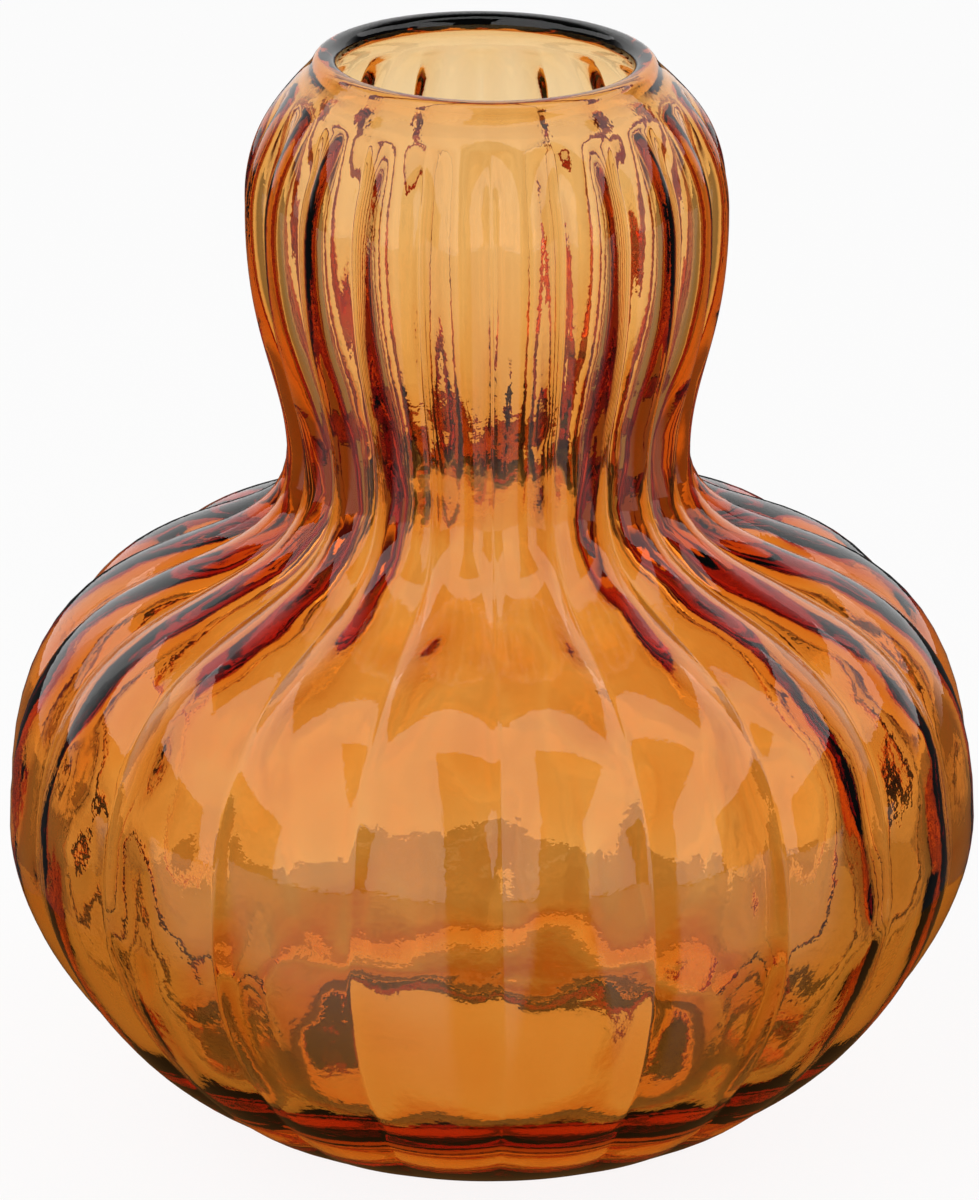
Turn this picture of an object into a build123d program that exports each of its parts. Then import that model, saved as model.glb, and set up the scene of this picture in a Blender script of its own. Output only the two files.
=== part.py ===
from build123d import *
import math
import os

# A gourd vase: one blown glass shell with twenty gores, a narrow waist and a fire-polished rim.
# Units are millimetres. Z runs up the axis of the vase and the origin is the centre of the foot.
# The gored outside is a loft, the collar is turned, and the inside is the outer profile set in by the wall.

# Heights of the main levels, measured up from the foot, and of the bulb and collar, down from the rim
belly_height = 60.0
waist_height = 130.5
rim_height = 207.0
bulb_drop = 29.0
collar_drop = 5.5

# Radii over the crests of the gores, and of the mouth inside the rim
foot_radius = 41.0
belly_radius = 91.0
waist_radius = 37.8
bulb_radius = 45.1
collar_radius = 35.3
mouth_radius = 27.2

# How steep the wall is, above the horizontal, where it leaves the foot and where it meets the collar
foot_slope = 18.0
collar_slope = 47.0

# How far each curve keeps its direction on leaving a level, which sets how full it looks
foot_reach = 29.0
belly_reach_below = 21.0
belly_reach_above = 61.0
waist_reach_below = 28.0
waist_reach_above = 16.0
bulb_reach_below = 25.0
bulb_reach_above = 12.0
collar_reach = 6.0

# Thicknesses of the glass
wall = 4.8
floor_thickness = 10.0
lip_thickness = 4.8

# The rim: its two edges are melted round, and the collar runs into the outer round at this angle
lip_round = 2.1
lip_join_angle = 25.0

# The gores pressed in by the mould, with a crease at the front
gore_count = 20
gore_depth = 1.7
neck_gore_depth = 2.1
gore_fade_at_foot = 12.0
gore_fade_at_collar = 10.0

# The hollow pushed up under the foot, so that the vase stands on a ring
kick_radius = 33.0
kick_depth = 2.5

# How finely the curves are followed
section_count = 36
inner_point_count = 18

# Where the bulb is widest, where the gores end, and where the rim's two rounds turn
bulb_height = rim_height - bulb_drop
collar_height = rim_height - collar_drop
lip_turn_height = rim_height - lip_round
inner_lip_turn = mouth_radius + lip_round
outer_lip_turn = mouth_radius + lip_thickness - lip_round


def sloping(angle):
    """Return the direction in the profile at an angle above the horizontal."""
    return Vector(math.cos(math.radians(angle)), math.sin(math.radians(angle)))


def on_lip(turn_radius, angle):
    """Return the point at an angle round one edge of the rim, as radius and height."""
    return Vector(turn_radius, lip_turn_height) + sloping(angle) * lip_round


def outer_profile():
    """Return the outer profile over the crests, from the foot to the collar, as radius and height."""
    foot = Vector(foot_radius, 0)
    belly = Vector(belly_radius, belly_height)
    waist = Vector(waist_radius, waist_height)
    bulb = Vector(bulb_radius, bulb_height)
    collar = Vector(collar_radius, collar_height)
    up = Vector(0, 1)
    inward_at_collar = sloping(180 - collar_slope)
    return Wire([
        Bezier(foot, foot + sloping(foot_slope) * foot_reach, belly - up * belly_reach_below, belly),
        Bezier(belly, belly + up * belly_reach_above, waist - up * waist_reach_below, waist),
        Bezier(waist, waist + up * waist_reach_above, bulb - up * bulb_reach_below, bulb),
        Bezier(bulb, bulb + up * bulb_reach_above, collar - inward_at_collar * collar_reach, collar),
    ])


def ease(share):
    """Return a smooth step from 0 to 1."""
    held = min(max(share, 0.0), 1.0)
    return held * held * (3 - 2 * held)


def crease_depth(radius, height):
    """Return how deep the creases are: deepest round the neck, and none at foot and collar."""
    fade_in = ease(height / gore_fade_at_foot)
    fade_out = ease((collar_height - height) / gore_fade_at_collar)
    if height < belly_height:
        return gore_depth * radius / belly_radius * fade_in
    into_neck = ease((height - belly_height) / (waist_height - belly_height))
    return (gore_depth + (neck_gore_depth - gore_depth) * into_neck) * fade_out


def gore_section(radius, height):
    """Return one closed section across the vase: an arc for each gore, meeting in creases."""
    crease_radius = radius - crease_depth(radius, height)

    def at(reach, gores):
        turn = math.radians(360 / gore_count * gores - 90)
        return Vector(reach * math.cos(turn), reach * math.sin(turn), height)

    arcs = []
    for gore in range(gore_count):
        crest = at(radius, gore + 0.5)
        arcs.append(ThreePointArc(at(crease_radius, gore), crest, at(crease_radius, gore + 1)))
    return Wire(arcs)


def gored_outside(profile):
    """Return the solid outside of the vase, from the foot to the collar."""
    places = [profile @ (step / section_count) for step in range(section_count + 1)]
    return Solid.make_loft([gore_section(place.X, place.Y) for place in places])


def upright(place):
    """Return a profile's point in the upright half-plane that the round shapes are turned from."""
    return Vector(place.X, 0, place.Y)


def collar():
    """Return the smooth collar and the outer half of the rim, as a solid."""
    base = Vector(collar_radius, collar_height)
    join = on_lip(outer_lip_turn, lip_join_angle)
    middle = on_lip(outer_lip_turn, (lip_join_angle + 90) / 2)
    top = on_lip(outer_lip_turn, 90)
    wall_up = Spline(
        upright(base),
        upright(join),
        tangents=[upright(sloping(180 - collar_slope)), upright(sloping(lip_join_angle + 90))],
    )
    outline = [
        wall_up,
        ThreePointArc(upright(join), upright(middle), upright(top)),
        Line(upright(top), Vector(0, 0, rim_height)),
        Line(Vector(0, 0, rim_height), Vector(0, 0, collar_height)),
        Line(Vector(0, 0, collar_height), upright(base)),
    ]
    return revolve(Face(Wire(outline)), axis=Axis.Z)


def cavity(profile):
    """Return the hollow of the vase, from the floor to above the rim."""
    set_in = []
    for step in range(inner_point_count + 1):
        share = step / inner_point_count
        along = profile % share
        place = (profile @ share) + Vector(-along.Y, along.X) * wall
        if place.Y > floor_thickness + wall:
            set_in.append(upright(place))
    floor = Vector(0, 0, floor_thickness)
    lip_start_angle = 270 - collar_slope
    lip_start = upright(on_lip(inner_lip_turn, lip_start_angle))
    lip_middle = upright(on_lip(inner_lip_turn, (lip_start_angle + 90) / 2))
    lip_end = upright(on_lip(inner_lip_turn, 90))
    into_lip = upright(sloping(180 - collar_slope))
    clear_of_rim = Vector(0, 0, lip_thickness)
    axis_top = Vector(0, 0, rim_height) + clear_of_rim
    outline = [
        Spline(floor, *set_in, lip_start, tangents=[Vector(1, 0, 0), into_lip]),
        ThreePointArc(lip_start, lip_middle, lip_end),
        Line(lip_end, lip_end + clear_of_rim),
        Line(lip_end + clear_of_rim, axis_top),
        Line(axis_top, floor),
    ]
    return revolve(Face(Wire(outline)), axis=Axis.Z)


def kick():
    """Return the shallow dome that is pushed up under the foot."""
    dome_radius = (kick_radius ** 2 + kick_depth ** 2) / (2 * kick_depth)
    return Pos(0, 0, kick_depth - dome_radius) * Sphere(dome_radius)


def glass_body():
    """Return the vase: one open shell of glass."""
    profile = outer_profile()
    return gored_outside(profile) + collar() - cavity(profile) - kick()


os.makedirs("parts", exist_ok=True)
export_step(glass_body(), "parts/glass_body.step")
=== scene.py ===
"""Studio scene of a ribbed gourd vase in clear amber glass.

One profile is extruded point by point, spun through a single gore, copied round the axis and pressed into
shape by weighted displacement, as the mould and the breath shape the real glass. Sizes are in metres.
"""
import logging
import math
from dataclasses import dataclass
from enum import Enum
from typing import Any, Callable, Sequence

import bpy
from mathutils import Matrix, Vector


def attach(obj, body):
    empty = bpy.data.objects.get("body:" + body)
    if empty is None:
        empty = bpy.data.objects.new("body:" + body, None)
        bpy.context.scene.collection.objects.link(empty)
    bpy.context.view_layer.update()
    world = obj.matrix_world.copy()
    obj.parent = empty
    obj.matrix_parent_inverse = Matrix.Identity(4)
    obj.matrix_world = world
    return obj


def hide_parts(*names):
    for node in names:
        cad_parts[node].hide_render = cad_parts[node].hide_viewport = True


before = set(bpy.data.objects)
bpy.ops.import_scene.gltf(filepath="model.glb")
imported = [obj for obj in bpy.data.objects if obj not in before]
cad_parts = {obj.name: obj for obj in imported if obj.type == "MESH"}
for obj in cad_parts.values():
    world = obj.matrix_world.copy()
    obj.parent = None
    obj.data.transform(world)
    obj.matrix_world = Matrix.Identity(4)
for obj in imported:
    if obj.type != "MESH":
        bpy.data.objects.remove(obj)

MM = 0.001
PHOTO_HEIGHT = 1200
WHITE = (1.0, 1.0, 1.0, 1.0)
log = logging.getLogger("gourd_vase")


def linear(hex_colour: str) -> tuple[float, float, float, float]:
    """Turn an sRGB hex colour into the linear colour that shaders take.

    Args:
        hex_colour: Six hex digits, such as "c8862f".

    Returns:
        Linear red, green and blue, and an alpha of one.
    """
    parts = [int(hex_colour[i:i + 2], 16) / 255 for i in (0, 2, 4)]
    # The sRGB curve: a short straight foot, then a power
    red, green, blue = (p / 12.92 if p <= 0.04045 else ((p + 0.055) / 1.055) ** 2.4 for p in parts)
    return red, green, blue, 1.0


def bare_material(name: str) -> bpy.types.Material:
    """Make a material with an empty node tree.

    Args:
        name: What the material is called.

    Returns:
        The new material.
    """
    made = bpy.data.materials.new(name)
    made.use_nodes = True
    made.node_tree.nodes.clear()
    return made


def add_node(
    tree: bpy.types.NodeTree,
    kind: str,
    sockets: dict[Any, Any] | None = None,
    **settings: Any,
) -> bpy.types.Node:
    """Add a shader node with its settings, and set or link its inputs.

    Args:
        tree: The node tree that gets the node.
        kind: Blender's name for the kind of node.
        sockets: Input name or index to a plain value, or to the output socket that feeds it.
        settings: Properties of the node itself.

    Returns:
        The new node.
    """
    node = tree.nodes.new(kind)
    for name, value in settings.items():
        setattr(node, name, value)
    for name, value in (sockets or {}).items():
        if isinstance(value, bpy.types.NodeSocket):
            tree.links.new(value, node.inputs[name])
        else:
            node.inputs[name].default_value = value
    return node


def ease(share: float) -> float:
    """Return a smooth step from 0 to 1."""
    held = min(max(share, 0.0), 1.0)
    return held * held * (3 - 2 * held)


def slope(degrees: float) -> Vector:
    """Return the direction in the profile at an angle above the horizontal."""
    return Vector((math.cos(math.radians(degrees)), math.sin(math.radians(degrees))))


def cubic(a: Vector, b: Vector, c: Vector, d: Vector, count: int) -> list[Vector]:
    """Follow a cubic curve from its first control point to its last.

    Args:
        a: Start of the curve.
        b: Point that the curve leaves towards.
        c: Point that the curve arrives from.
        d: End of the curve.
        count: Number of steps.

    Returns:
        The points after the start, evenly spaced in the curve's own measure.
    """
    points = []
    for step in range(1, count + 1):
        t = step / count
        s = 1 - t
        points.append(a * s ** 3 + b * (3 * s * s * t) + c * (3 * s * t * t) + d * t ** 3)
    return points


def sweep(start: Vector, leaving: Vector, end: Vector, arriving: Vector, count: int) -> list[Vector]:
    """Join two points by a curve whose arms are a third of the way between them.

    Args:
        start: Start of the curve.
        leaving: Direction in which it leaves its start.
        end: End of the curve.
        arriving: Direction in which it reaches its end.
        count: Number of steps.

    Returns:
        The points after the start.
    """
    arm = (end - start).length / 3
    return cubic(start, start + leaving * arm, end - arriving * arm, end, count)


class Zone(Enum):
    """The stretches of the profile, each pressed or blown in its own way."""

    FOOT = "foot"
    OUTSIDE = "outside"
    RIM = "rim"
    INSIDE = "inside"


@dataclass(frozen=True)
class Waves:
    """Slow unevenness that one face of the wall keeps from its making."""

    name: str
    zone: Zone
    size: float
    height: float
    octaves: int = 1


@dataclass(frozen=True)
class AmberGlass:
    """Soda-lime glass tinted amber all through, blown into a mould and fire-polished.

    A thin wall looks honey gold, two walls look orange and a long way through the wall goes red-brown,
    because the tint takes blue first and red last. The melted skin is clear and shiny, with a faint grain.
    """

    name: str = "amber_soda_lime_glass"
    wall: float = 4.8 * MM
    through_one_wall: str = "f4ca8b"
    density_margin: float = 1.02
    index: float = 1.5
    roughness: float = 0.0
    grain_size: float = 1.8 * MM
    grain_height: float = 0.025 * MM

    def absorption(self) -> tuple[tuple[float, float, float, float], float]:
        """Work out the tint of the glass from the colour of light that has crossed one wall.

        Returns:
            The absorption colour and its density per metre.
        """
        taken = [-math.log(part) / self.wall for part in linear(self.through_one_wall)[:3]]
        density = max(taken) * self.density_margin
        red, green, blue = (1 - part / density for part in taken)
        return (red, green, blue, 1.0), density

    def material(self) -> bpy.types.Material:
        """Make the material, which lets lamplight straight through so that the vase's shade stays light.

        Returns:
            A glass material with the tint in its volume.
        """
        made = bare_material(self.name)
        tree = made.node_tree
        colour, density = self.absorption()
        place = add_node(tree, "ShaderNodeTexCoord").outputs["Object"]
        grain = add_node(tree, "ShaderNodeTexNoise", {"Vector": place, "Scale": 1 / self.grain_size})
        skin = add_node(tree, "ShaderNodeBump", {"Height": grain.outputs[0], "Distance": self.grain_height})
        glass = add_node(tree, "ShaderNodeBsdfPrincipled", {
            "Base Color": WHITE,
            "Roughness": self.roughness,
            "IOR": self.index,
            "Transmission Weight": 1.0,
            "Normal": skin.outputs[0],
        })
        clear = add_node(tree, "ShaderNodeBsdfTransparent")
        surface = add_node(tree, "ShaderNodeMixShader", {
            0: add_node(tree, "ShaderNodeLightPath").outputs["Is Shadow Ray"],
            1: glass.outputs[0],
            2: clear.outputs[0],
        })
        tint = add_node(tree, "ShaderNodeVolumeAbsorption", {"Color": colour, "Density": density})
        add_node(tree, "ShaderNodeOutputMaterial", {"Surface": surface.outputs[0], "Volume": tint.outputs[0]})
        return made


@dataclass
class GourdVase:
    """The blown glass body: foot, belly, waist, upper bulb, collar and rim in one wall."""

    name: str = "ribbed_glass"
    node: str = "glass_body"
    body: str = "root"
    slot: str = "amber_glass"

    # Heights of the main levels
    belly_height: float = 60 * MM
    waist_height: float = 130.5 * MM
    bulb_height: float = 178 * MM
    rim_height: float = 207 * MM
    collar_drop: float = 5.5 * MM

    # Radii over the crests of the gores, and of the mouth inside the rim
    foot_radius: float = 41 * MM
    belly_radius: float = 91 * MM
    waist_radius: float = 37.8 * MM
    bulb_radius: float = 45.1 * MM
    collar_radius: float = 35.3 * MM
    mouth_radius: float = 27.2 * MM

    # How steeply the wall leaves the foot and meets the collar, and how full its curves are
    foot_slope: float = 18.0
    collar_slope: float = 47.0
    foot_reach: float = 29 * MM
    belly_reach_below: float = 21 * MM
    belly_reach_above: float = 61 * MM
    waist_reach_below: float = 28 * MM
    waist_reach_above: float = 16 * MM
    bulb_reach_below: float = 25 * MM
    bulb_reach_above: float = 12 * MM
    collar_reach: float = 6 * MM

    # Thickness of the wall, which gathers at the shoulder and is blown thin in the neck
    belly_wall: float = 4.9 * MM
    shoulder_wall: float = 6.4 * MM
    neck_wall: float = 3.4 * MM
    belly_wall_end: float = 68 * MM
    shoulder_wall_start: float = 108 * MM
    shoulder_wall_end: float = 112 * MM
    neck_wall_start: float = 175 * MM

    # The floor inside, its thick round heel, and the hollow pushed up under the foot
    floor_top: float = 11.5 * MM
    floor_flat_radius: float = 49 * MM
    heel_height: float = 18 * MM
    heel_radius: float = 54 * MM
    heel_edge_height: float = 34 * MM
    kick_radius: float = 38 * MM
    kick_edge: float = 12 * MM
    kick_depth: float = 5.5 * MM

    # The rim, whose two edges are melted round
    lip_thickness: float = 4.8 * MM
    lip_round: float = 2.1 * MM
    lip_join_angle: float = 25.0

    # The gores pressed in by the mould, which the inner wall follows more softly
    gore_count: int = 20
    gore_depth: float = 1.7 * MM
    neck_gore_depth: float = 2.4 * MM
    gore_fade_at_foot: float = 12 * MM
    gore_fade_at_collar: float = 10 * MM
    crease_round: float = 0.05
    inner_follow: float = 0.9

    # Waves left by the breath inside and by the mould outside
    blown: Waves = Waves("blown", Zone.INSIDE, 12 * MM, 2.4 * MM)
    blown_from: float = 30 * MM
    blown_full: float = 65 * MM
    moulded: Waves = Waves("moulded", Zone.OUTSIDE, 11 * MM, 0.15 * MM)
    moulded_in_neck: float = 0.2

    # How far the rim sinks, and towards which side
    sag_from: float = 185 * MM
    sag_depth: float = 1.3 * MM
    sag_turn: float = 20.0

    # How finely the curves and the gores are followed, and how steps crowd towards the creases
    steps_per_curve: int = 24
    steps_per_round: int = 7
    steps_under_lip: int = 4
    half_gore_steps: int = 9
    crowding: float = 1.9
    weld_distance: float = 0.0034 * MM

    @property
    def collar_height(self) -> float:
        """Return the height at which the gores end."""
        return self.rim_height - self.collar_drop

    @property
    def deepest(self) -> float:
        """Return the greatest depth of the gores."""
        return max(self.gore_depth, self.neck_gore_depth)

    def on_lip(self, turn_radius: float, angle: float) -> Vector:
        """Return the point at an angle round one edge of the rim."""
        return Vector((turn_radius, self.rim_height - self.lip_round)) + slope(angle) * self.lip_round

    def underside(self) -> list[Vector]:
        """Follow the hollow under the foot and the ring that the vase stands on.

        Returns:
            Radius and height of each point, from the middle outwards.
        """
        steps = 2 * self.steps_per_round
        flat_radius = self.kick_radius - self.kick_edge
        points = [Vector((0, self.kick_depth)), Vector((flat_radius / 2, self.kick_depth))]
        for step in range(steps + 1):
            share = step / steps
            reach = self.kick_radius - self.kick_edge * (1 - share)
            points.append(Vector((reach, self.kick_depth * (1 - ease(share)))))
        points.append(Vector(((self.kick_radius + self.foot_radius) / 2, 0)))
        return points

    def outside(self) -> list[Vector]:
        """Follow the outer wall over the crests of the gores.

        Returns:
            Radius and height of each point, from the foot to the collar.
        """
        up = Vector((0, 1))
        foot = Vector((self.foot_radius, 0))
        belly = Vector((self.belly_radius, self.belly_height))
        waist = Vector((self.waist_radius, self.waist_height))
        bulb = Vector((self.bulb_radius, self.bulb_height))
        collar = Vector((self.collar_radius, self.collar_height))
        leave_foot = foot + slope(self.foot_slope) * self.foot_reach
        meet_belly = belly - up * self.belly_reach_below
        leave_belly = belly + up * self.belly_reach_above
        meet_waist = waist - up * self.waist_reach_below
        leave_waist = waist + up * self.waist_reach_above
        meet_bulb = bulb - up * self.bulb_reach_below
        leave_bulb = bulb + up * self.bulb_reach_above
        meet_collar = collar + slope(-self.collar_slope) * self.collar_reach
        points = [foot]
        points += cubic(foot, leave_foot, meet_belly, belly, self.steps_per_curve)
        points += cubic(belly, leave_belly, meet_waist, waist, self.steps_per_curve)
        points += cubic(waist, leave_waist, meet_bulb, bulb, self.steps_per_curve)
        points += cubic(bulb, leave_bulb, meet_collar, collar, self.steps_per_curve)
        return points

    def wall_at(self, height: float) -> float:
        """Return the thickness of the wall at a height.

        Args:
            height: Height on the outer wall.

        Returns:
            The thickness there, greatest at the shoulder and least in the neck.
        """
        gathered = ease((height - self.belly_wall_end) / (self.shoulder_wall_start - self.belly_wall_end))
        thinned = ease((height - self.shoulder_wall_end) / (self.neck_wall_start - self.shoulder_wall_end))
        thickness = self.belly_wall + (self.shoulder_wall - self.belly_wall) * gathered
        return thickness + (self.neck_wall - self.shoulder_wall) * thinned

    def inside(self, wall_out: Sequence[Vector]) -> list[Vector]:
        """Set the outer wall in by its thickness.

        Args:
            wall_out: The outer wall, from the foot to the collar.

        Returns:
            The inner wall, from the collar down to where it turns into the heel.
        """
        points = []
        for before, here, after in zip(wall_out, wall_out[1:], wall_out[2:]):
            along = (after - before).normalized()
            place = here + Vector((-along.y, along.x)) * self.wall_at(here.y)
            if place.y > self.heel_edge_height:
                points.append(place)
        return points[::-1]

    def rim(self, wall_out: Sequence[Vector], wall_in: Sequence[Vector]) -> list[Vector]:
        """Follow the collar and the round edges of the rim.

        Args:
            wall_out: The outer wall, from the foot to the collar.
            wall_in: The inner wall, from the collar down.

        Returns:
            Radius and height of each point, from above the outer wall to the top of the inner wall.
        """
        steps = self.steps_per_round
        outer_turn = self.mouth_radius + self.lip_thickness - self.lip_round
        inner_turn = self.mouth_radius + self.lip_round
        lip_end_angle = 270 - self.collar_slope
        join = self.on_lip(outer_turn, self.lip_join_angle)
        rising = slope(180 - self.collar_slope)
        points = sweep(wall_out[-1], rising, join, slope(self.lip_join_angle + 90), steps)
        for step in range(1, steps + 1):
            angle = self.lip_join_angle + (90 - self.lip_join_angle) * step / steps
            points.append(self.on_lip(outer_turn, angle))
        for step in range(2 * steps + 1):
            angle = 90 + (lip_end_angle - 90) * step / (2 * steps)
            points.append(self.on_lip(inner_turn, angle))
        falling = (wall_in[1] - wall_in[0]).normalized()
        points += sweep(points[-1], slope(-self.collar_slope), wall_in[0], falling, self.steps_under_lip)
        return points

    def floor_inside(self, wall_in: Sequence[Vector]) -> list[Vector]:
        """Follow the thick heel and the floor inside.

        Args:
            wall_in: The inner wall, from the collar down.

        Returns:
            Radius and height of each point, from below the inner wall to the middle of the floor.
        """
        steps = self.steps_per_round
        inward = Vector((-1, 0))
        heel = Vector((self.heel_radius, self.heel_height))
        floor = Vector((self.floor_flat_radius, self.floor_top))
        falling = (wall_in[-1] - wall_in[-2]).normalized()
        points = sweep(wall_in[-1], falling, heel, inward, 2 * steps)
        arm = inward * (self.heel_radius - self.floor_flat_radius) / 2
        points += cubic(heel, heel + arm, floor - arm, floor, 2 * steps)
        for step in range(1, steps + 1):
            points.append(Vector((self.floor_flat_radius * (1 - step / steps), self.floor_top)))
        return points

    def profile(self) -> list[tuple[Vector, Zone]]:
        """Follow the whole wall from under the foot, over the rim and down to the floor inside.

        Returns:
            Each point's radius and height, with the stretch that it belongs to.
        """
        wall_out = self.outside()
        wall_in = self.inside(wall_out)
        stretches = (
            (Zone.FOOT, self.underside()),
            (Zone.OUTSIDE, wall_out),
            (Zone.RIM, self.rim(wall_out, wall_in)),
            (Zone.INSIDE, wall_in[1:] + self.floor_inside(wall_in)),
        )
        return [(point, zone) for zone, points in stretches for point in points]

    def crease_strength(self, radius: float, height: float) -> float:
        """Return how much of the full crease depth there is at a place on the wall.

        Args:
            radius: Distance from the axis.
            height: Height above the table.

        Returns:
            A share that is 1 where the creases are deepest, and 0 at the foot and the collar.
        """
        fade_in = ease(height / self.gore_fade_at_foot)
        fade_out = ease((self.collar_height - height) / self.gore_fade_at_collar)
        into_neck = ease((height - self.belly_height) / (self.waist_height - self.belly_height))
        depth = self.gore_depth + (self.neck_gore_depth - self.gore_depth) * into_neck
        if height < self.belly_height:
            depth = self.gore_depth * radius / self.belly_radius
        return depth / self.deepest * fade_in * fade_out

    def follow_at(self, height: float) -> float:
        """Return how closely the inner wall follows the gores, which is not at all on the floor."""
        off_floor = ease((height - self.heel_height) / (self.heel_edge_height - self.heel_height))
        return self.inner_follow * off_floor

    def sharp_crease(self, share: float) -> float:
        """Return the depth across a gore, as an arc that meets its neighbour in a narrow round crease.

        Args:
            share: Place across half a gore, from its crest at 0 to its crease at 1.

        Returns:
            Share of the crease's depth.
        """
        edge = 1 - self.crease_round
        if share <= edge:
            return share * share
        left = (1 - share) / self.crease_round
        return edge * edge + edge * self.crease_round * (1 - left * left)

    def soft_crease(self, share: float) -> float:
        """Return the depth across a gore on the inner wall, which the mould never touched."""
        return (1 - math.cos(math.pi * share)) / 2

    def blown_share(self, height: float) -> float:
        """Return how strong the waves inside are.

        Args:
            height: Height above the table.

        Returns:
            A share that rises from 0 at the heel to 1 on the belly, and falls to 0 in the neck.
        """
        rise = ease((height - self.blown_from) / (self.blown_full - self.blown_from))
        calm = ease((height - self.shoulder_wall_end) / (self.neck_wall_start - self.shoulder_wall_end))
        return rise * (1 - calm)

    def moulded_share(self, height: float) -> float:
        """Return how strong the waves outside are.

        Args:
            height: Height above the table.

        Returns:
            A share that is 1 on the belly, small in the neck, and 0 at the foot and the collar.
        """
        rise = ease(height / self.gore_fade_at_foot)
        fall = ease((self.collar_height - height) / self.gore_fade_at_collar)
        calm = ease((height - self.shoulder_wall_end) / (self.waist_height - self.shoulder_wall_end))
        return rise * fall * (1 - (1 - self.moulded_in_neck) * calm)

    def draw_profile(self) -> bpy.types.Object:
        """Extrude the profile from one point, and weigh each point by how deep its creases are.

        Returns:
            The object, holding the profile as one open line at the front of the vase.
        """
        points = self.profile()
        start = points[0][0]
        bpy.ops.object.select_all(action="DESELECT")
        bpy.ops.mesh.primitive_plane_add(size=self.neck_wall, location=(0, 0, 0))
        piece = bpy.context.object
        piece.name = self.name
        bpy.ops.object.mode_set(mode="EDIT")
        bpy.ops.mesh.select_all(action="SELECT")
        bpy.ops.mesh.merge(type="CENTER")
        bpy.ops.transform.translate(value=(0, -start.x, start.y))
        for (before, _), (after, _) in zip(points, points[1:]):
            move = after - before
            bpy.ops.mesh.extrude_region_move(TRANSFORM_OT_translate={"value": (0, -move.x, move.y)})
        bpy.ops.object.mode_set(mode="OBJECT")
        groups = {zone: piece.vertex_groups.new(name=zone.value) for zone in (Zone.OUTSIDE, Zone.INSIDE)}
        for index, (place, zone) in enumerate(points):
            if zone in groups:
                share = self.follow_at(place.y) if zone is Zone.INSIDE else 1.0
                groups[zone].add([index], self.crease_strength(place.x, place.y) * share, "REPLACE")
        return piece

    def spin_gores(self, piece: bpy.types.Object) -> None:
        """Spin the profile through one gore, in finer steps near its creases, and copy the gore round.

        Args:
            piece: The profile, which becomes the closed glass.
        """
        gore = 2 * math.pi / self.gore_count
        copies = self.gore_count - 1
        steps = self.half_gore_steps
        half = [(step / steps) ** self.crowding / 2 for step in range(steps + 1)]
        shares = half + [1 - share for share in half[-2::-1]]
        centre = {"center": (0, 0, 0), "axis": (0, 0, 1)}
        bpy.ops.object.mode_set(mode="EDIT")
        bpy.ops.mesh.select_all(action="SELECT")
        for before, after in zip(shares, shares[1:]):
            bpy.ops.mesh.spin(steps=1, angle=(after - before) * gore, **centre)
        bpy.ops.mesh.select_all(action="SELECT")
        bpy.ops.mesh.spin(steps=copies, dupli=True, angle=gore * copies, **centre)
        bpy.ops.mesh.select_all(action="SELECT")
        bpy.ops.mesh.remove_doubles(threshold=self.weld_distance)
        bpy.ops.mesh.normals_make_consistent(inside=False)
        bpy.ops.object.mode_set(mode="OBJECT")

    def weigh(self, piece: bpy.types.Object, zone: Zone, across: Callable[[float], float]) -> None:
        """Spread a group's weights across the gores.

        Args:
            piece: The spun glass.
            zone: The stretch of wall whose group is weighed.
            across: Depth of a gore's section, from its crest at 0 to its crease at 1.
        """
        group = piece.vertex_groups[zone.value]
        for vertex in piece.data.vertices:
            held = [entry.weight for entry in vertex.groups if entry.group == group.index]
            if not held:
                continue
            turn = (math.atan2(vertex.co.y, vertex.co.x) + math.pi / 2) / (2 * math.pi) * self.gore_count
            share = abs(turn - math.floor(turn) - 0.5) * 2
            group.add([vertex.index], held[0] * across(share), "REPLACE")

    def displace(self, piece: bpy.types.Object, group: str, strength: float, **settings: Any) -> None:
        """Move a group of vertices by their weights.

        Args:
            piece: The spun glass.
            group: Name of the vertex group.
            strength: How far a full weight moves, along the normals unless the settings say otherwise.
            settings: Other properties of the modifier.
        """
        push = piece.modifiers.new(group, "DISPLACE")
        push.vertex_group = group
        push.strength = strength
        for name, value in settings.items():
            setattr(push, name, value)
        bpy.ops.object.modifier_apply(modifier=push.name)

    def ripple(self, piece: bpy.types.Object, waves: Waves, share_at: Callable[[float], float]) -> None:
        """Leave waves on one face of the wall.

        Args:
            piece: The pressed glass.
            waves: The waves and the stretch of wall that they are on.
            share_at: How much of the waves there is at a height.
        """
        clouds = bpy.data.textures.new(f"{waves.name}_waves", "CLOUDS")
        clouds.noise_scale = waves.size
        clouds.noise_depth = waves.octaves
        reach = piece.vertex_groups.new(name=waves.name)
        held = piece.vertex_groups[waves.zone.value].index
        for vertex in piece.data.vertices:
            if any(entry.group == held for entry in vertex.groups):
                reach.add([vertex.index], share_at(vertex.co.z), "REPLACE")
        self.displace(piece, reach.name, waves.height, texture=clouds, texture_coords="LOCAL")

    def sag(self, piece: bpy.types.Object) -> None:
        """Let one side of the rim sink a little, as soft glass does while it is cut and melted round.

        Args:
            piece: The pressed glass.
        """
        sunk = piece.vertex_groups.new(name="sunk")
        low = slope(self.sag_turn)
        for vertex in piece.data.vertices:
            if vertex.co.z > self.sag_from:
                toward = Vector((vertex.co.x, vertex.co.y)).normalized().dot(low)
                share = ease((vertex.co.z - self.sag_from) / (self.rim_height - self.sag_from))
                sunk.add([vertex.index], share * (1 + toward) / 2, "REPLACE")
        self.displace(piece, sunk.name, -self.sag_depth, direction="Z", mid_level=0.0)

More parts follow.
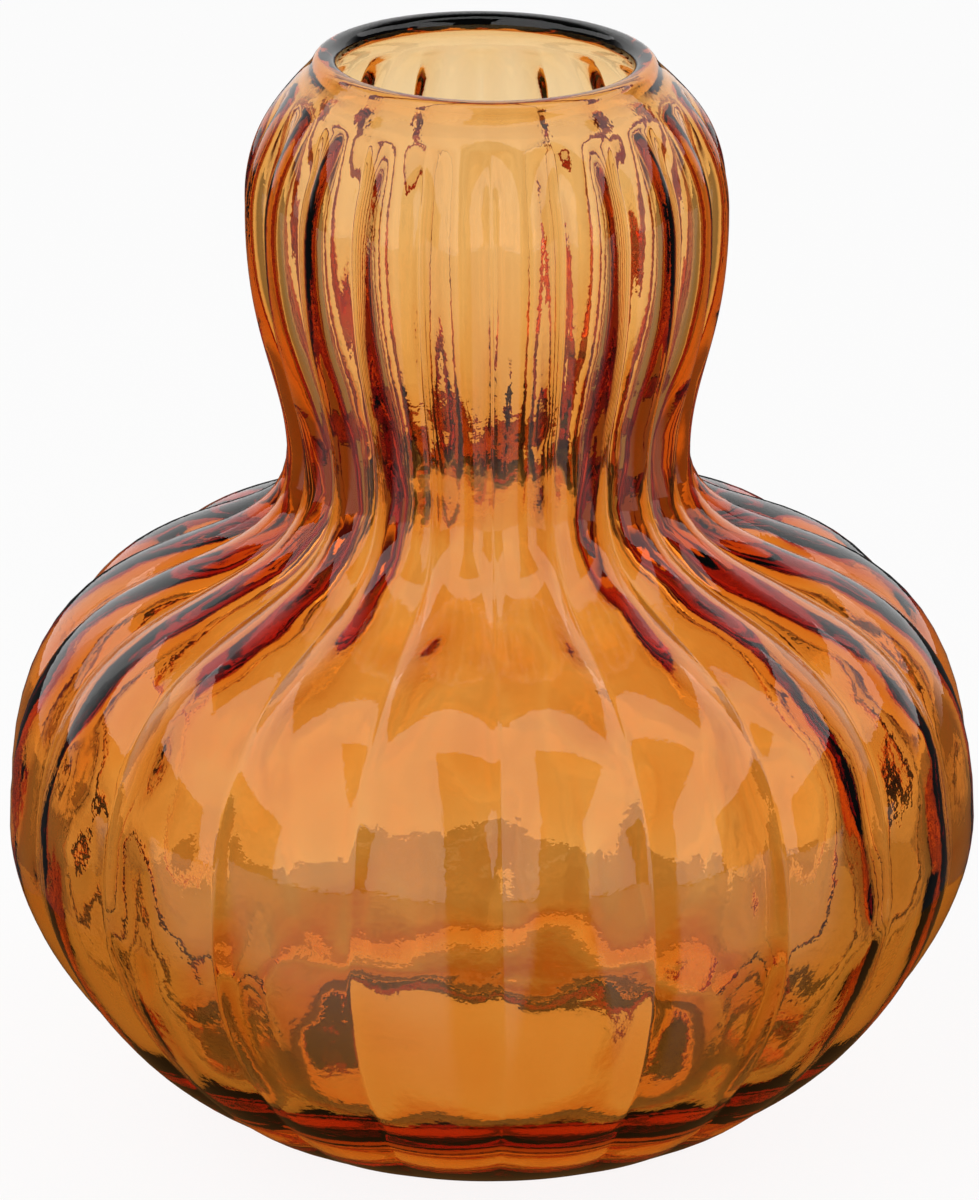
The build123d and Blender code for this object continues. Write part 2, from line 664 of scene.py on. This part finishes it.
    def build(self) -> bpy.types.Object:
        """Make the glass and put it in place of the plain part.

        Returns:
            The finished piece.
        """
        piece = self.draw_profile()
        self.spin_gores(piece)
        self.weigh(piece, Zone.OUTSIDE, self.sharp_crease)
        self.weigh(piece, Zone.INSIDE, self.soft_crease)
        self.displace(piece, Zone.OUTSIDE.value, -self.deepest, mid_level=0.0)
        self.displace(piece, Zone.INSIDE.value, self.deepest, mid_level=0.0)
        self.ripple(piece, self.blown, self.blown_share)
        self.ripple(piece, self.moulded, self.moulded_share)
        self.sag(piece)
        bpy.ops.object.shade_smooth()
        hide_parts(self.node)
        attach(piece, self.body)
        return piece

    def dress(self, piece: bpy.types.Object, glass: AmberGlass) -> None:
        """Give the piece its glass."""
        piece.data.materials.clear()
        piece.data.materials.append(glass.material())


@dataclass(frozen=True)
class PaintedLightPool:
    """A painted pool of light, seen only in reflections: the table in front of the vase that the soft boxes
    light, on both sides of the gap between them.

    The middle and the half width of the gap are shares of the distance from the vase.
    """

    gap_middle: float
    gap_half: float
    gap_fade: float = 0.04
    start: float = 60 * MM
    full: float = 170 * MM
    # Brightness of the painted pool of light, as the glass mirrors it
    level: float = 0.7

    def share(self, tree: bpy.types.NodeTree) -> bpy.types.NodeSocket:
        """Find the painted pool of light on the table.

        Args:
            tree: The node tree of the table or of the card.

        Returns:
            A socket that is 1 in the painted pool of light and 0 elsewhere.
        """
        place = add_node(tree, "ShaderNodeTexCoord").outputs["Object"]
        split = add_node(tree, "ShaderNodeSeparateXYZ", {0: place})
        near = add_node(tree, "ShaderNodeMapRange", {
            "Value": split.outputs["Y"],
            "From Min": -self.start,
            "From Max": -self.full,
        }, interpolation_type="SMOOTHSTEP")
        aside = add_node(tree, "ShaderNodeMath", {
            0: split.outputs["X"],
            1: split.outputs["Y"],
        }, operation="DIVIDE")
        off = add_node(tree, "ShaderNodeMath", {0: aside.outputs[0], 1: self.gap_middle}, operation="ADD")
        off = add_node(tree, "ShaderNodeMath", {0: off.outputs[0]}, operation="ABSOLUTE")
        clear = add_node(tree, "ShaderNodeMapRange", {
            "Value": off.outputs[0],
            "From Min": self.gap_half - self.gap_fade,
            "From Max": self.gap_half + self.gap_fade,
        }, interpolation_type="SMOOTHSTEP")
        lit = add_node(tree, "ShaderNodeMath", {
            0: near.outputs[0],
            1: clear.outputs[0],
        }, operation="MULTIPLY")
        return lit.outputs[0]


@dataclass(frozen=True)
class TablePaper:
    """Matt white paper, rolled out flat and lit until it is white past the glass.

    Through the glass it carries painted shade to the left and right, which draws dark lines in the wall.
    Mirrored in the glass it shows a painted dark reflection, but for the painted pool of light in front.
    """

    name: str = "white_paper"
    colour: str = "f4f4f4"
    glow: float = 0.9
    # Painted reflection: how bright the table looks mirrored in the glass, outside the painted pool of light
    mirrored: float = 0.04
    # Painted shade beside the vase, which only the glass sees through its wall
    side_shade_level: float = 0.3
    sides_start: float = 26.0
    sides_full: float = 50.0

    def sides(self, tree: bpy.types.NodeTree) -> bpy.types.NodeSocket:
        """Paint shade on the table to the left and right of the vase.

        Args:
            tree: The node tree of the table.

        Returns:
            A socket that is 1 in front and behind, and the level of the painted side shade beside the vase.
        """
        place = add_node(tree, "ShaderNodeTexCoord").outputs["Object"]
        toward = add_node(tree, "ShaderNodeVectorMath", {0: place}, operation="NORMALIZE")
        split = add_node(tree, "ShaderNodeSeparateXYZ", {0: toward.outputs[0]})
        along = add_node(tree, "ShaderNodeMath", {0: split.outputs["Y"]}, operation="ABSOLUTE")
        shaded = add_node(tree, "ShaderNodeMapRange", {
            "Value": along.outputs[0],
            "From Min": math.cos(math.radians(self.sides_full)),
            "From Max": math.cos(math.radians(self.sides_start)),
            "To Min": self.side_shade_level,
            "To Max": 1.0,
        }, interpolation_type="SMOOTHSTEP")
        return shaded.outputs[0]

    def material(self, pool: PaintedLightPool) -> bpy.types.Material:
        """Make the material, which glows as lit paper does but still takes a shadow.

        Args:
            pool: The painted pool of light, where the table is mirrored brightly.

        Returns:
            The material of the table.
        """
        made = bare_material(self.name)
        tree = made.node_tree
        path = add_node(tree, "ShaderNodeLightPath")
        camera = path.outputs["Is Camera Ray"]
        through = path.outputs["Is Transmission Ray"]
        mirrored = path.outputs["Is Reflection Ray"]
        share = add_node(tree, "ShaderNodeMath", {
            0: camera,
            1: self.glow,
            2: mirrored,
        }, operation="MULTIPLY_ADD")
        share = add_node(tree, "ShaderNodeMath", {
            0: through,
            1: self.glow,
            2: share.outputs[0],
        }, operation="MULTIPLY_ADD")
        # Painted shade: through the glass the table's glow is dimmed beside the vase
        level = add_node(tree, "ShaderNodeMath", {
            0: through,
            1: self.sides(tree),
            2: camera,
        }, operation="MULTIPLY_ADD")
        # Painted reflection: dark, but for the painted pool of light in front
        ahead = add_node(tree, "ShaderNodeMix", {0: pool.share(tree), 2: self.mirrored, 3: pool.level})
        level = add_node(tree, "ShaderNodeMath", {
            0: mirrored,
            1: ahead.outputs[0],
            2: level.outputs[0],
        }, operation="MULTIPLY_ADD")
        matt = add_node(tree, "ShaderNodeBsdfDiffuse", {"Color": linear(self.colour)})
        lit = add_node(tree, "ShaderNodeEmission", {"Color": WHITE, "Strength": level.outputs[0]})
        mixed = add_node(tree, "ShaderNodeMixShader", {
            0: share.outputs[0],
            1: matt.outputs[0],
            2: lit.outputs[0],
        })
        add_node(tree, "ShaderNodeOutputMaterial", {"Surface": mixed.outputs[0]})
        return made


@dataclass(frozen=True)
class CardShade:
    """Painted shadow: the shade that the vase casts on the paper below it, painted on a card that glows.

    It is pale grey round the vase and nearly white under the foot, with a thin ring of painted contact shadow
    where the foot stands. Mirrored in the glass it shows a painted brown reflection, but for the painted pool
    of light in front.
    """

    name: str = "painted_shadow_card"
    # Painted shadow as the glass sees it: grey round the vase, nearly white under the foot
    around: str = "ccc8b4"
    under_foot: str = "eef4f4"
    # Painted reflection: the card's brown as the glass mirrors it
    mirrored: str = "5a3c1e"
    # Where and how dark the painted contact shadow under the foot is
    ring_inner: float = 39 * MM
    ring_outer: float = 42 * MM
    ring_fade: float = 2 * MM
    contact_shadow_level: float = 0.15

    def ring(self, tree: bpy.types.NodeTree, reach: bpy.types.NodeSocket) -> bpy.types.NodeSocket:
        """Paint the contact shadow in the ring where the foot stands.

        Args:
            tree: The node tree of the card.
            reach: Distance from the axis.

        Returns:
            A socket that is 1 off the ring, and the level of the painted contact shadow on it.
        """
        inner = add_node(tree, "ShaderNodeMapRange", {
            "Value": reach,
            "From Min": self.ring_inner - self.ring_fade,
            "From Max": self.ring_inner,
            "To Min": 1.0,
            "To Max": self.contact_shadow_level,
        }, interpolation_type="SMOOTHSTEP")
        outer = add_node(tree, "ShaderNodeMapRange", {
            "Value": reach,
            "From Min": self.ring_outer,
            "From Max": self.ring_outer + self.ring_fade,
            "To Min": self.contact_shadow_level,
            "To Max": 1.0,
        }, interpolation_type="SMOOTHSTEP")
        shaded = add_node(tree, "ShaderNodeMath", {
            0: inner.outputs[0],
            1: outer.outputs[0],
        }, operation="MAXIMUM")
        return shaded.outputs[0]

    def material(self, pool: PaintedLightPool) -> bpy.types.Material:
        """Make the material, which glows with the painted shadow.

        Args:
            pool: The painted pool of light, where the card is mirrored brightly.

        Returns:
            The material of the card.
        """
        made = bare_material(self.name)
        tree = made.node_tree
        place = add_node(tree, "ShaderNodeTexCoord").outputs["Object"]
        reach = add_node(tree, "ShaderNodeVectorMath", {0: place}, operation="LENGTH").outputs["Value"]
        past = add_node(tree, "ShaderNodeMapRange", {
            "Value": reach,
            "From Min": self.ring_inner,
            "From Max": self.ring_outer,
        })
        through = add_node(tree, "ShaderNodeMix", {
            0: past.outputs[0],
            6: linear(self.under_foot),
            7: linear(self.around),
        }, data_type="RGBA")
        # Painted reflection: brown, but for the painted pool of light in front
        mirrored = add_node(tree, "ShaderNodeMix", {
            0: pool.share(tree),
            6: linear(self.mirrored),
            7: (pool.level, pool.level, pool.level, 1.0),
        }, data_type="RGBA")
        tone = add_node(tree, "ShaderNodeMix", {
            0: add_node(tree, "ShaderNodeLightPath").outputs["Is Reflection Ray"],
            6: through.outputs[2],
            7: mirrored.outputs[2],
        }, data_type="RGBA")
        # The card glows with its painted shade, dimmed on the ring of painted contact shadow
        glow = add_node(tree, "ShaderNodeEmission", {
            "Color": tone.outputs[2],
            "Strength": self.ring(tree, reach),
        })
        add_node(tree, "ShaderNodeOutputMaterial", {"Surface": glow.outputs[0]})
        return made


@dataclass(frozen=True)
class BackdropCloth:
    """White cloth, hung smooth and lit from behind, so that it looks evenly white."""

    name: str = "backdrop_white"
    level: float = 1.0

    def material(self) -> bpy.types.Material:
        """Make the material.

        Returns:
            The material of the backdrop.
        """
        made = bare_material(self.name)
        tree = made.node_tree
        glow = add_node(tree, "ShaderNodeEmission", {"Color": WHITE, "Strength": self.level})
        add_node(tree, "ShaderNodeOutputMaterial", {"Surface": glow.outputs[0]})
        return made


@dataclass
class Studio:
    """The table, the card of painted shadow that lies under the vase, and the backdrop behind it."""

    floor_size: float = 6.0
    card_radius: float = 153 * MM
    card_lift: float = 0.1 * MM
    card_corners: int = 96
    sheet_distance: float = 1.3
    sheet_width: float = 2.6
    sheet_height: float = 1.5

    def hang_backdrop(self, cloth: BackdropCloth) -> None:
        """Hang the backdrop, which only the glass sees.

        Args:
            cloth: Its finish.
        """
        bpy.ops.object.select_all(action="DESELECT")
        middle = (0, self.sheet_distance, self.sheet_height / 2)
        bpy.ops.mesh.primitive_plane_add(size=1.0, location=middle, rotation=(math.pi / 2, 0, 0))
        sheet = bpy.context.object
        sheet.name = "backdrop"
        sheet.scale = (self.sheet_width, self.sheet_height, 1.0)
        bpy.ops.object.transform_apply(location=True, rotation=True, scale=True)
        sheet.visible_camera = False
        sheet.visible_shadow = False
        sheet.data.materials.append(cloth.material())

    def lay_card(self, shade: CardShade, pool: PaintedLightPool) -> None:
        """Lay the round card of painted shadow under the vase, which only the glass sees.

        Args:
            shade: Its painted shadow.
            pool: The painted pool of light on the table that the soft boxes light.
        """
        bpy.ops.object.select_all(action="DESELECT")
        bpy.ops.mesh.primitive_circle_add(
            vertices=self.card_corners,
            radius=self.card_radius,
            fill_type="NGON",
            location=(0, 0, self.card_lift),
        )
        card = bpy.context.object
        card.name = "shade_card"
        bpy.ops.object.transform_apply(location=True, rotation=True, scale=True)
        card.visible_camera = False
        card.visible_shadow = False
        card.visible_diffuse = False
        card.data.materials.append(shade.material(pool))

    def lay_floor(self, paper: TablePaper, pool: PaintedLightPool) -> None:
        """Lay the white table.

        Args:
            paper: Its finish.
            pool: The painted pool of light on the table that the soft boxes light.
        """
        bpy.ops.object.select_all(action="DESELECT")
        bpy.ops.mesh.primitive_plane_add(size=self.floor_size, location=(0, 0, 0))
        floor = bpy.context.object
        floor.name = "studio_floor"
        floor.data.materials.append(paper.material(pool))

    def build(self, pool: PaintedLightPool) -> None:
        """Hang the backdrop and lay the card and the table.

        Args:
            pool: The painted pool of light on the table that the soft boxes light.
        """
        self.hang_backdrop(BackdropCloth())
        self.lay_card(CardShade(), pool)
        self.lay_floor(TablePaper(), pool)
        bpy.context.scene.view_settings.view_transform = "Standard"


@dataclass
class Room:
    """A room that is white at the horizon, warm and dark overhead, and white wherever the camera sees it.

    Mirrored in the glass it shows a painted reflection, bright behind the vase and dark elsewhere.
    """

    ceiling: str = "5a2c1c"
    horizon_end: float = -2.0
    ceiling_start: float = 12.0
    # Painted reflection: what the glass mirrors in front of and behind the vase
    front_mirrored: float = 0.05
    back_mirrored: float = 0.8
    back_start: float = 0.4
    back_full: float = 0.8

    def build(self) -> None:
        """Make the world that stands for the room."""
        world = bpy.data.worlds.new("white_room")
        bpy.context.scene.world = world
        world.use_nodes = True
        tree = world.node_tree
        tree.nodes.clear()
        path = add_node(tree, "ShaderNodeLightPath")
        place = add_node(tree, "ShaderNodeTexCoord").outputs["Generated"]
        split = add_node(tree, "ShaderNodeSeparateXYZ", {0: place})
        overhead = add_node(tree, "ShaderNodeMapRange", {
            "Value": split.outputs["Z"],
            "From Min": math.sin(math.radians(self.horizon_end)),
            "From Max": math.sin(math.radians(self.ceiling_start)),
        }, interpolation_type="SMOOTHSTEP")
        # Painted reflection: the level that reflection rays see, bright behind the vase and dark elsewhere
        mirrored = add_node(tree, "ShaderNodeMapRange", {
            "Value": split.outputs["Y"],
            "From Min": self.back_start,
            "From Max": self.back_full,
            "To Min": self.front_mirrored,
            "To Max": self.back_mirrored,
        }, interpolation_type="SMOOTHSTEP")
        tone = add_node(tree, "ShaderNodeMix", {
            0: overhead.outputs[0],
            6: WHITE,
            7: linear(self.ceiling),
        }, data_type="RGBA")
        tone = add_node(tree, "ShaderNodeMix", {
            0: path.outputs["Is Camera Ray"],
            6: tone.outputs[2],
            7: WHITE,
        }, data_type="RGBA")
        tone = add_node(tree, "ShaderNodeMix", {
            0: path.outputs["Is Reflection Ray"],
            6: tone.outputs[2],
            7: mirrored.outputs[0],
        }, data_type="RGBA")
        room = add_node(tree, "ShaderNodeBackground", {"Color": tone.outputs[2]})
        add_node(tree, "ShaderNodeOutputWorld", {"Surface": room.outputs[0]})


@dataclass
class SoftBoxes:
    """Soft light: a sheet overhead that runs down in front on both sides of a gap, with wings at the back.

    Left and right are measured from the axis of the vase, front and back along the table.
    """

    gap_left: float = -0.16
    gap_right: float = 0.8
    reach: float = 2.4
    height: float = 1.1
    foot: float = 0.05
    front: float = 1.8
    bridge_front: float = 0.42
    wing_start: float = 0.8
    wing_back: float = 1.0
    radiance: float = 1.45

    @property
    def gap_middle(self) -> float:
        """Return the place of the gap's middle, to the right of the axis."""
        return (self.gap_left + self.gap_right) / 2

    @property
    def gap_width(self) -> float:
        """Return the width of the gap."""
        return self.gap_right - self.gap_left

    def painted_light_pool(self) -> PaintedLightPool:
        """Return the painted pool of light on the table that the boxes light, with their gap as seen from the
        vase.
        """
        return PaintedLightPool(self.gap_middle / self.front, self.gap_width / 2 / self.front)

    def hang_panel(self, name: str, middle: Vector, away: Vector, width: float, length: float) -> None:
        """Hang one flat, evenly lit panel.

        Args:
            name: Name of the lamp.
            middle: Where its middle hangs.
            away: Which way its dark back faces.
            width: Its width from left to right.
            length: Its other side.
        """
        lamp = bpy.data.lights.new(name, "AREA")
        lamp.shape = "RECTANGLE"
        lamp.size = width
        lamp.size_y = length
        lamp.energy = self.radiance * math.pi * width * length
        holder = bpy.data.objects.new(name, lamp)
        bpy.context.scene.collection.objects.link(holder)
        holder.location = middle
        holder.rotation_euler = away.to_track_quat("Z", "Y").to_euler()
        holder.visible_camera = False

    def build(self) -> None:
        """Hang a sheet overhead, an upright and a wing on each side, and a bridge over the gap."""
        up = Vector((0, 0, 1))
        ahead = Vector((0, -1, 0))
        tall = self.height - self.foot
        sides = (("left", self.gap_left, -self.reach), ("right", self.gap_right, self.reach))
        for side, inner, outer in sides:
            middle = (inner + outer) / 2
            width = abs(outer - inner)
            wing_inner = math.copysign(self.wing_start, outer)
            overhead = Vector((middle, -self.front / 2, self.height))
            upright = Vector((middle, -self.front, self.foot + tall / 2))
            wing = Vector(((wing_inner + outer) / 2, self.wing_back / 2, self.height))
            self.hang_panel(f"overhead_{side}", overhead, up, width, self.front)
            self.hang_panel(f"upright_{side}", upright, ahead, width, tall)
            self.hang_panel(f"wing_{side}", wing, up, abs(outer - wing_inner), self.wing_back)
        bridge = Vector((self.gap_middle, -self.bridge_front / 2, self.height))
        self.hang_panel("bridge", bridge, up, self.gap_width, self.bridge_front)


@dataclass
class Viewpoint:
    """The camera, as far off and as high as in the photograph."""

    distance: float = 2.1008
    elevation: float = 19.38
    azimuth: float = 1.2
    roll: float = -0.45
    aim_height: float = 100.35 * MM
    focal_pixels: float = 11237.0
    sensor: float = 36.0

    def build(self) -> None:
        """Set up the camera and make it the scene's own."""
        camera = bpy.data.cameras.new("camera")
        camera.sensor_width = self.sensor
        camera.lens = self.focal_pixels / PHOTO_HEIGHT * self.sensor
        holder = bpy.data.objects.new("camera", camera)
        bpy.context.scene.collection.objects.link(holder)
        side = math.radians(self.azimuth)
        high = math.radians(self.elevation)
        forward = Vector((math.sin(side) * math.cos(high), math.cos(side) * math.cos(high), -math.sin(high)))
        turned = forward.to_track_quat("-Z", "Y").to_matrix().to_4x4()
        placed = turned @ Matrix.Rotation(math.radians(self.roll), 4, "Z")
        placed.translation = Vector((0, 0, self.aim_height)) - forward * self.distance
        holder.matrix_world = placed
        bpy.context.scene.camera = holder


def main() -> None:
    """Build the vase, the studio, the light and the camera in order."""
    logging.basicConfig(level=logging.INFO)
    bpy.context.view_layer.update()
    vase = GourdVase()
    piece = vase.build()
    vase.dress(piece, AmberGlass())
    log.info("%s: %d faces", piece.name, len(piece.data.polygons))
    boxes = SoftBoxes()
    Studio().build(boxes.painted_light_pool())
    log.info("table, card and backdrop ready")
    Room().build()
    boxes.build()
    log.info("room and soft boxes ready")
    Viewpoint().build()
    log.info("camera ready")


if __name__ == "__main__":
    main()
